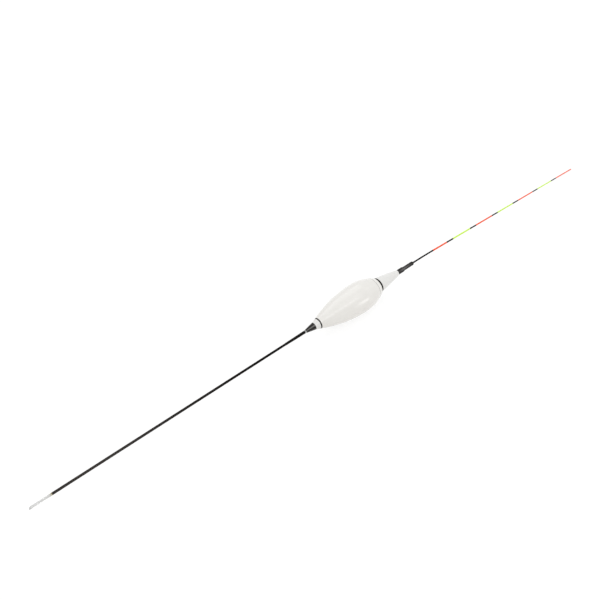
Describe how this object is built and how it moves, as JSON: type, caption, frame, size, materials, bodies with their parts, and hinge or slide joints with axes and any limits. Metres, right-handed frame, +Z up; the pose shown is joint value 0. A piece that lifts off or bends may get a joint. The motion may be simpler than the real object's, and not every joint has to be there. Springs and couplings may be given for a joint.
{
  "type": "fishing float",
  "caption": "Slim fishing float: pear-shaped white body on a thin carbon stem, with a clear foot sleeve and a banded antenna that plugs into a socket.",
  "frame": {"origin": "on the surface that the float lies on, under the middle of its length", "axes": "+X along the float's axis from the foot to the antenna's tip, +Z up from the surface it lies on"},
  "size_m": [0.3778, 0.0164, 0.0165],
  "materials": {
    "clear_silicone": "gloss",
    "pale_resin": "satin",
    "carbon": "satin",
    "black_gloss": "gloss",
    "bright_metal": "polished",
    "pearl_white": "gloss",
    "dark_lacquer": "satin",
    "balsa": "matte",
    "grey_lacquer": "satin",
    "black_moulding": "satin",
    "red_lacquer": "satin",
    "yellow_lacquer": "satin"
  },
  "bodies": {
    "float": {"foot_plug": "pale_resin", "stem": "carbon", "stem_sleeve": "black_gloss", "trim_ring": "bright_metal", "tail_cone": "black_gloss", "tail_collar": "pearl_white", "tail_band": "dark_lacquer", "body_core": "balsa", "body_shell": "pearl_white", "shoulder_line": "grey_lacquer", "neck_band": "dark_lacquer", "top_cone": "pearl_white", "socket_tube": "black_moulding"},
    "antenna": {"antenna_ferrule": "black_moulding", "antenna_rod": "carbon", "black_bands": "dark_lacquer", "red_bands": "red_lacquer", "yellow_bands": "yellow_lacquer"},
    "sleeve": {"foot_sleeve": "clear_silicone"}
  },
  "joints": [
    {"name": "antenna_pull", "type": "slide", "parent": "float", "child": "antenna", "axis": [1, 0, 0], "range_m": [0, 0.016]},
    {"name": "sleeve_pull", "type": "slide", "parent": "float", "child": "sleeve", "axis": [-1, 0, 0], "range_m": [0, 0.006]}
  ]
}
